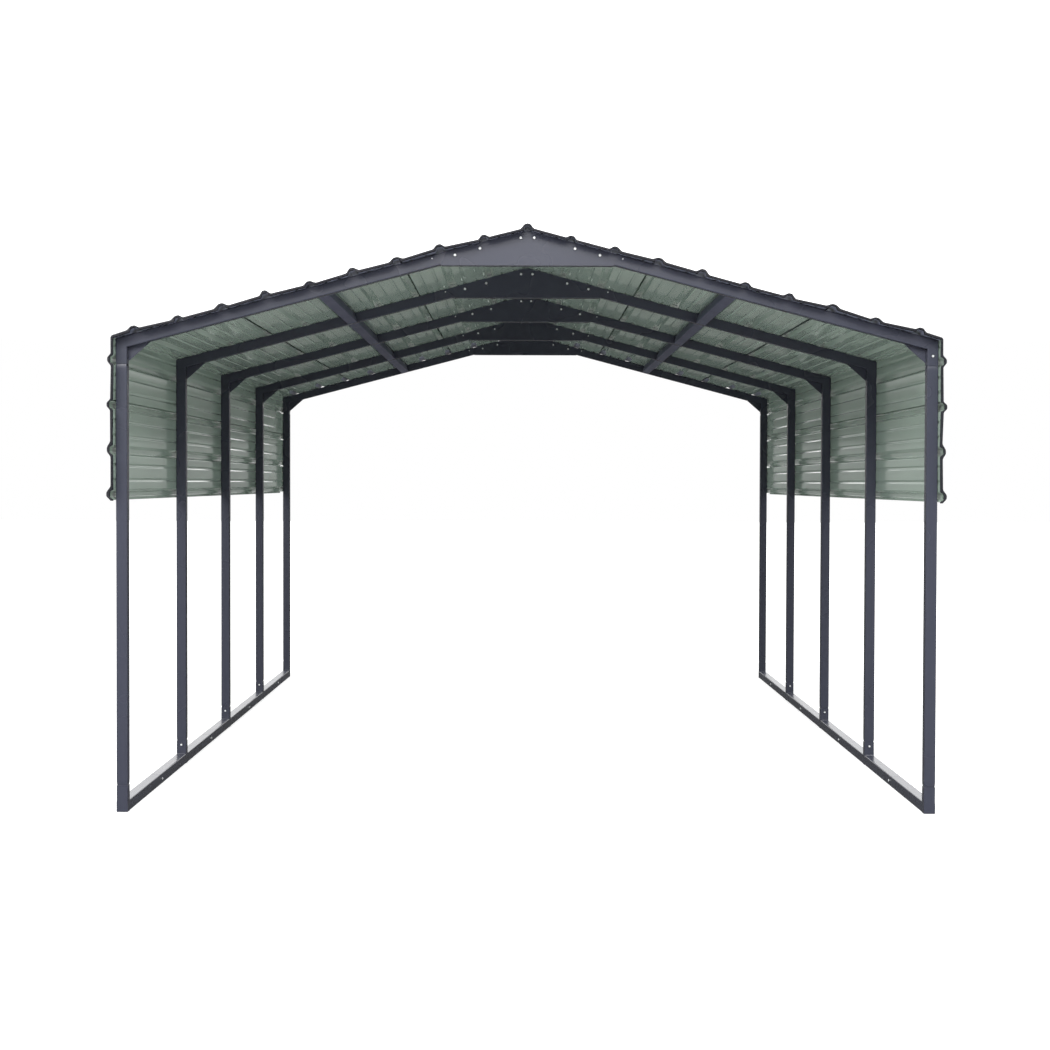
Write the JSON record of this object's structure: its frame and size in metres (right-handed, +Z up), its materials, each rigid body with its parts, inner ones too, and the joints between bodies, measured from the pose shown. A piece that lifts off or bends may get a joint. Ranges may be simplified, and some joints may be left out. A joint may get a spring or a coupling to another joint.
{
  "type": "carport",
  "caption": "Open steel carport: square tube frames on two ground rails, with ribbed steel sheets over a low gabled roof and the upper sides, and both ends open to drive through.",
  "frame": {"origin": "centre of the footprint, on the ground under the rails", "axes": "+Z up, +Y along the ridge from the front end to the rear end, +X to the right seen from the front"},
  "size_m": [3.6992, 6.1, 2.6178],
  "materials": {
    "frame_paint": "semi-gloss",
    "sheet_paint": "gloss",
    "edge_trim": "matte"
  },
  "bodies": {
    "root": {"left_base_1": "frame_paint", "left_base_2": "frame_paint", "left_base_3": "frame_paint", "left_base_4": "frame_paint", "left_base_5": "frame_paint", "right_base_1": "frame_paint", "right_base_2": "frame_paint", "right_base_3": "frame_paint", "right_base_4": "frame_paint", "right_base_5": "frame_paint", "left_leg_1": "frame_paint", "left_leg_2": "frame_paint", "left_leg_3": "frame_paint", "left_leg_4": "frame_paint", "left_leg_5": "frame_paint", "right_leg_1": "frame_paint", "right_leg_2": "frame_paint", "right_leg_3": "frame_paint", "right_leg_4": "frame_paint", "right_leg_5": "frame_paint", "left_rafter_1": "frame_paint", "left_rafter_2": "frame_paint", "left_rafter_3": "frame_paint", "left_rafter_4": "frame_paint", "left_rafter_5": "frame_paint", "right_rafter_1": "frame_paint", "right_rafter_2": "frame_paint", "right_rafter_3": "frame_paint", "right_rafter_4": "frame_paint", "right_rafter_5": "frame_paint", "ridge_brackets": "frame_paint", "left_knee_gussets": "frame_paint", "right_knee_gussets": "frame_paint", "left_purlins": "frame_paint", "right_purlins": "frame_paint", "ridge_sheet": "sheet_paint", "left_slope_sheet": "sheet_paint", "right_slope_sheet": "sheet_paint", "left_eave_sheet": "sheet_paint", "right_eave_sheet": "sheet_paint", "left_side_sheet": "sheet_paint", "right_side_sheet": "sheet_paint", "front_edge_trim": "edge_trim", "rear_edge_trim": "edge_trim"}
  },
  "joints": []
}
